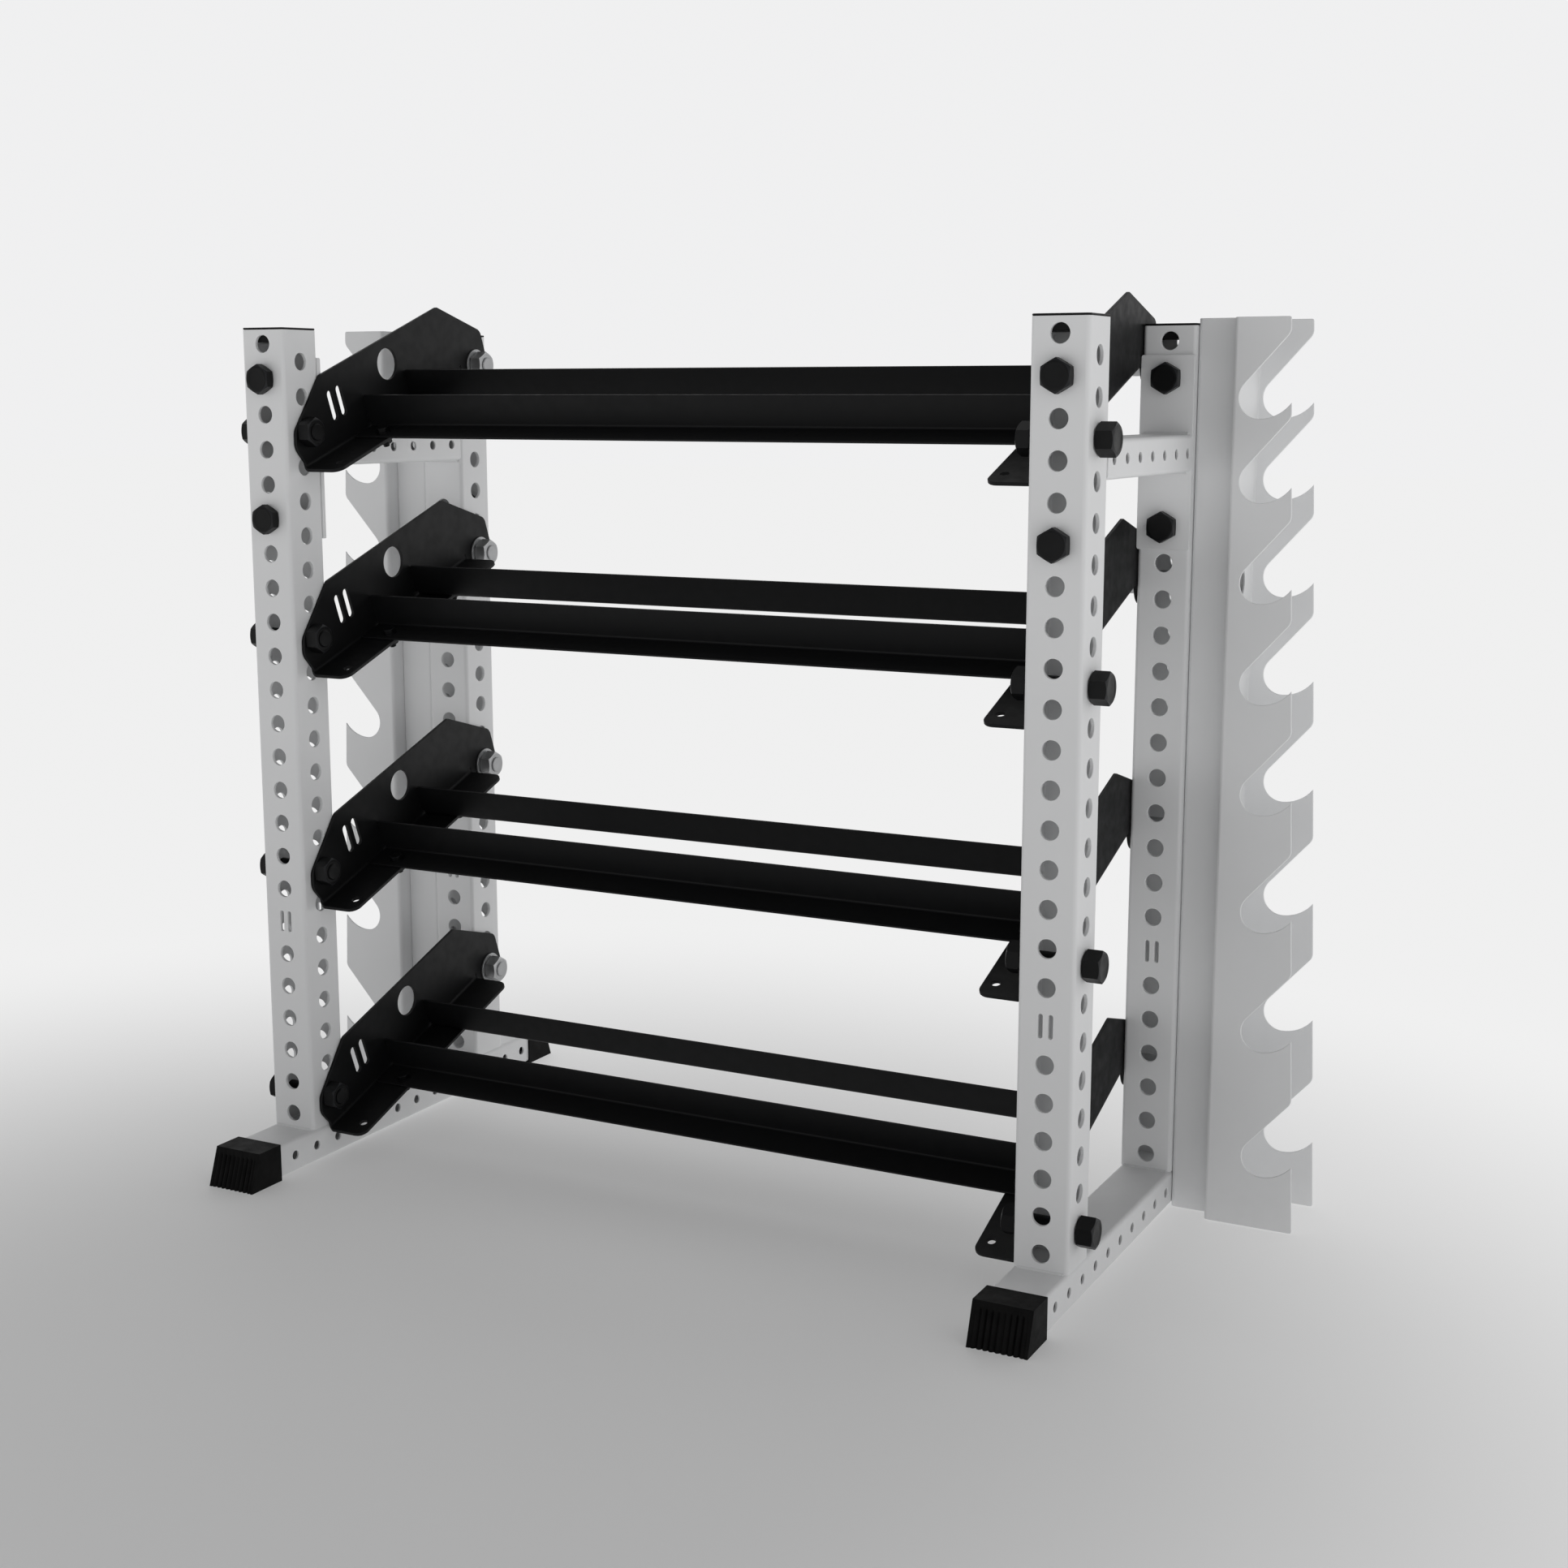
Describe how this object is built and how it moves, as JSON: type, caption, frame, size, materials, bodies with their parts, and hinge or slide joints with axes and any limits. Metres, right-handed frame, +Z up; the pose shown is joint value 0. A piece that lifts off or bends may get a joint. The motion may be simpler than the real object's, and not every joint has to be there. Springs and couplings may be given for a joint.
{
  "type": "dumbbell rack",
  "caption": "Floor-standing dumbbell rack: a tube frame with sloped angle-rail shelves between plate brackets and a tall notched storage channel on each side.",
  "frame": {"origin": "on the floor, at the centre of the footprint: midway between the left and right side frames and midway between the front and rear uprights", "axes": "+X to the right seen from the front, +Y from the front to the rear, +Z up"},
  "size_m": [1.6774, 0.803, 1.3091],
  "materials": {
    "white_coat": "matt white powder coat with a fine grain",
    "black_coat": "satin black powder coat",
    "bolt_steel": "black oxide steel, lightly worn on the edges",
    "zinc_steel": "dull zinc-plated steel",
    "cap_plastic": "matt black moulded plastic",
    "foot_rubber": "matt black moulded rubber with ribs"
  },
  "bodies": {
    "root": {"upright_front_left": "white_coat", "upright_cap_front_left": "cap_plastic", "foot_front_left": "foot_rubber", "frame_bolt_front_left_upper": "bolt_steel", "frame_bolt_front_left_lower": "bolt_steel", "upright_rear_left": "white_coat", "upright_cap_rear_left": "cap_plastic", "foot_rear_left": "foot_rubber", "frame_bolt_rear_left_upper": "bolt_steel", "frame_bolt_rear_left_lower": "bolt_steel", "base_tube_left": "white_coat", "crossmember_left": "white_coat", "storage_standoff_left": "white_coat", "storage_channel_left": "white_coat", "upright_front_right": "white_coat", "upright_cap_front_right": "cap_plastic", "foot_front_right": "foot_rubber", "frame_bolt_front_right_upper": "bolt_steel", "frame_bolt_front_right_lower": "bolt_steel", "upright_rear_right": "white_coat", "upright_cap_rear_right": "cap_plastic", "foot_rear_right": "foot_rubber", "frame_bolt_rear_right_upper": "bolt_steel", "frame_bolt_rear_right_lower": "bolt_steel", "base_tube_right": "white_coat", "crossmember_right": "white_coat", "storage_standoff_right": "white_coat", "storage_channel_right": "white_coat", "shelf_1_bracket_left": "black_coat", "shelf_1_front_bolt_left": "bolt_steel", "shelf_1_rear_bolt_left": "zinc_steel", "shelf_1_bracket_right": "black_coat", "shelf_1_front_bolt_right": "bolt_steel", "shelf_1_rear_bolt_right": "zinc_steel", "shelf_1_rail_front": "black_coat", "shelf_1_rail_rear": "black_coat", "shelf_2_bracket_left": "black_coat", "shelf_2_front_bolt_left": "bolt_steel", "shelf_2_rear_bolt_left": "zinc_steel", "shelf_2_bracket_right": "black_coat", "shelf_2_front_bolt_right": "bolt_steel", "shelf_2_rear_bolt_right": "zinc_steel", "shelf_2_rail_front": "black_coat", "shelf_2_rail_rear": "black_coat", "shelf_3_bracket_left": "black_coat", "shelf_3_front_bolt_left": "bolt_steel", "shelf_3_rear_bolt_left": "zinc_steel", "shelf_3_bracket_right": "black_coat", "shelf_3_front_bolt_right": "bolt_steel", "shelf_3_rear_bolt_right": "zinc_steel", "shelf_3_rail_front": "black_coat", "shelf_3_rail_rear": "black_coat", "shelf_4_bracket_left": "black_coat", "shelf_4_front_bolt_left": "bolt_steel", "shelf_4_rear_bolt_left": "zinc_steel", "shelf_4_bracket_right": "black_coat", "shelf_4_front_bolt_right": "bolt_steel", "shelf_4_rear_bolt_right": "zinc_steel", "shelf_4_rail_front": "black_coat", "shelf_4_rail_rear": "black_coat"}
  },
  "joints": []
}
